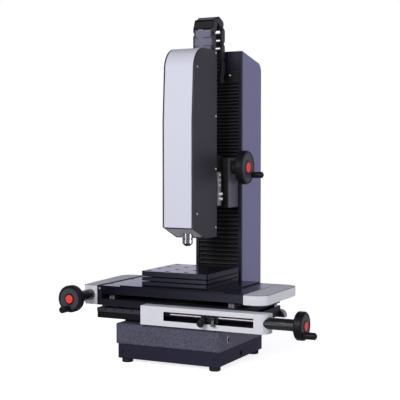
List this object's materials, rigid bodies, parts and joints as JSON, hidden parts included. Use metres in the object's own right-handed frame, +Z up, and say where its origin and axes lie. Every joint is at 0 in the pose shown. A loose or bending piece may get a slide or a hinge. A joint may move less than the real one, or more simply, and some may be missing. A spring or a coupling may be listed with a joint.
{
  "type": "three-dimensional surface profiler",
  "caption": "Optical surface profiler: granite base, two-axis stage with handwheels, fine sample stage, and a measuring head on a carriage that rises along a column.",
  "frame": {"origin": "floor level under the middle of the granite base", "axes": "+Z up, +X to the right, +Y to the back, towards the column"},
  "size_m": [0.6326, 0.5291, 0.8504],
  "materials": {
    "rubber": "matt black rubber",
    "plinth_paint": "dark navy powder coat",
    "granite": "fine speckled dark granite, ground",
    "steel_bright": "ground steel",
    "steel_dark": "blackened steel",
    "anodised_black": "black anodised, satin",
    "white_cover": "pale lavender-white powder coat",
    "side_black": "charcoal powder coat",
    "column_blue": "blue-grey powder coat",
    "frame_navy": "dark navy coat",
    "column_aluminium": "extruded aluminium",
    "bellows_black": "pleated coated cloth",
    "chain_black": "black glass-filled nylon",
    "wheel_black": "black moulded plastic",
    "cap_red": "red moulded plastic",
    "tube_black": "black anodised tube",
    "chrome": "satin chrome",
    "pale_steel": "bare sheet steel"
  },
  "bodies": {
    "stand": {"rubber_feet": "rubber", "plinth": "plinth_paint", "granite_slab": "granite", "granite_inserts": "steel_bright", "rear_pedestal": "plinth_paint", "stage_bed": "anodised_black", "x_rails": "steel_bright", "front_cover": "white_cover", "x_drive_tube": "tube_black", "scale_rod": "steel_bright", "bed_rear_cover": "white_cover", "column_body": "column_aluminium", "column_cover": "column_blue", "column_front_frame": "frame_navy", "z_rails": "steel_bright", "z_rack": "steel_dark", "bellows_end_plates": "frame_navy", "upper_bellows": "bellows_black", "lower_bellows": "bellows_black", "chain_fixed_leg": "chain_black"},
    "cross_slide": {"cross_slide_plate": "anodised_black", "y_rails": "steel_bright", "left_end_cap": "white_cover", "y_drive_tube": "tube_black", "slide_clamp": "steel_dark"},
    "clamp_knob": {"clamp_knob": "wheel_black"},
    "release_lever": {"release_lever": "steel_bright"},
    "table": {"table_plate": "anodised_black", "y_bearing_cars": "steel_dark", "right_end_cap": "white_cover", "adapter_plate": "anodised_black", "fine_stage_base": "anodised_black"},
    "fine_x": {"fine_stage_middle": "anodised_black"},
    "fine_y": {"sample_plate": "anodised_black"},
    "x_wheel": {"x_handwheel": "wheel_black", "x_wheel_cap": "cap_red", "x_lead_screw": "steel_dark"},
    "x_handle": {"x_handle": "wheel_black"},
    "y_wheel": {"y_handwheel": "wheel_black", "y_wheel_cap": "cap_red"},
    "y_handle": {"y_handle": "wheel_black"},
    "carriage": {"carriage_block": "anodised_black", "z_drive_hub": "tube_black", "z_bearing_cars": "steel_dark", "head_bridge": "anodised_black", "connector_strip": "pale_steel", "head_side_plates": "side_black", "head_front_panel": "white_cover", "head_bottom_cover": "pale_steel", "head_spine": "side_black", "objective": "chrome", "optics_tube": "steel_dark", "camera": "side_black", "chain_moving_leg": "chain_black"},
    "z_wheel": {"z_handwheel": "wheel_black", "z_wheel_cap": "cap_red"},
    "z_handle": {"z_handle": "wheel_black"},
    "chain_front": {"chain_arch_front": "chain_black"},
    "chain_rear": {"chain_arch_rear": "chain_black"},
    "z_idler": {"z_idler": "steel_dark"}
  },
  "joints": [
    {"name": "x_travel", "type": "slide", "parent": "stand", "child": "cross_slide", "axis": [1, 0, 0], "range_m": [-0.09, 0.09]},
    {"name": "y_travel", "type": "slide", "parent": "cross_slide", "child": "table", "axis": [0, 1, 0], "range_m": [-0.055, 0.045]},
    {"name": "fine_x_travel", "type": "slide", "parent": "table", "child": "fine_x", "axis": [1, 0, 0], "range_m": [-0.0125, 0.0125]},
    {"name": "fine_y_travel", "type": "slide", "parent": "fine_x", "child": "fine_y", "axis": [0, 1, 0], "range_m": [-0.0125, 0.0125]},
    {"name": "x_wheel_spin", "type": "hinge", "parent": "stand", "child": "x_wheel", "pos_m": [0.347, -0.1325, 0.12425], "axis": [1, 0, 0], "continuous": true},
    {"name": "y_wheel_spin", "type": "hinge", "parent": "cross_slide", "child": "y_wheel", "pos_m": [-0.221, -0.211, 0.15775], "axis": [0, -1, 0], "continuous": true},
    {"name": "x_handle_spin", "type": "hinge", "parent": "x_wheel", "child": "x_handle", "pos_m": [0.347, -0.14619, 0.10608], "axis": [1, 0, 0], "continuous": true},
    {"name": "y_handle_spin", "type": "hinge", "parent": "y_wheel", "child": "y_handle", "pos_m": [-0.22417, -0.211, 0.13522], "axis": [0, -1, 0], "continuous": true},
    {"name": "clamp_knob_turn", "type": "hinge", "parent": "cross_slide", "child": "clamp_knob", "pos_m": [0.105, -0.15459, 0.12051], "axis": [0, -0.9397, -0.342], "range_deg": [0, 270]},
    {"name": "release_lever_swing", "type": "hinge", "parent": "cross_slide", "child": "release_lever", "pos_m": [0.129, -0.1435, 0.1256], "axis": [0, -1, 0], "range_deg": [0, 60]},
    {"name": "z_travel", "type": "slide", "parent": "stand", "child": "carriage", "axis": [0, 0, 1], "range_m": [-0.045, 0.08], "deforming": ["upper_bellows", "lower_bellows"]},
    {"name": "z_wheel_spin", "type": "hinge", "parent": "carriage", "child": "z_wheel", "pos_m": [0.097, 0.1263, 0.47], "axis": [1, 0, 0], "continuous": true},
    {"name": "z_handle_spin", "type": "hinge", "parent": "z_wheel", "child": "z_handle", "pos_m": [0.097, 0.15374, 0.45078], "axis": [1, 0, 0], "continuous": true},
    {"name": "chain_rear_lift", "type": "slide", "parent": "stand", "child": "chain_rear", "axis": [0, 0, 1], "range_m": [-0.0225, 0.04], "deforming": ["chain_fixed_leg"]},
    {"name": "chain_front_lift", "type": "slide", "parent": "carriage", "child": "chain_front", "axis": [0, 0, 1], "range_m": [-0.04, 0.0225], "deforming": ["chain_moving_leg"]},
    {"name": "z_idler_spin", "type": "hinge", "parent": "carriage", "child": "z_idler", "pos_m": [0, 0.15832, 0.462], "axis": [1, 0, 0], "continuous": true}
  ],
  "couplings": [
    {"joint": "x_wheel_spin", "follows": "x_travel", "rad_per_m": -628.32},
    {"joint": "y_wheel_spin", "follows": "y_travel", "rad_per_m": 628.32},
    {"joint": "z_wheel_spin", "follows": "z_travel", "rad_per_m": 74.074},
    {"joint": "chain_rear_lift", "follows": "z_travel", "ratio": 0.5},
    {"joint": "chain_front_lift", "follows": "z_travel", "ratio": -0.5},
    {"joint": "z_idler_spin", "follows": "z_travel", "rad_per_m": -51.282}
  ]
}
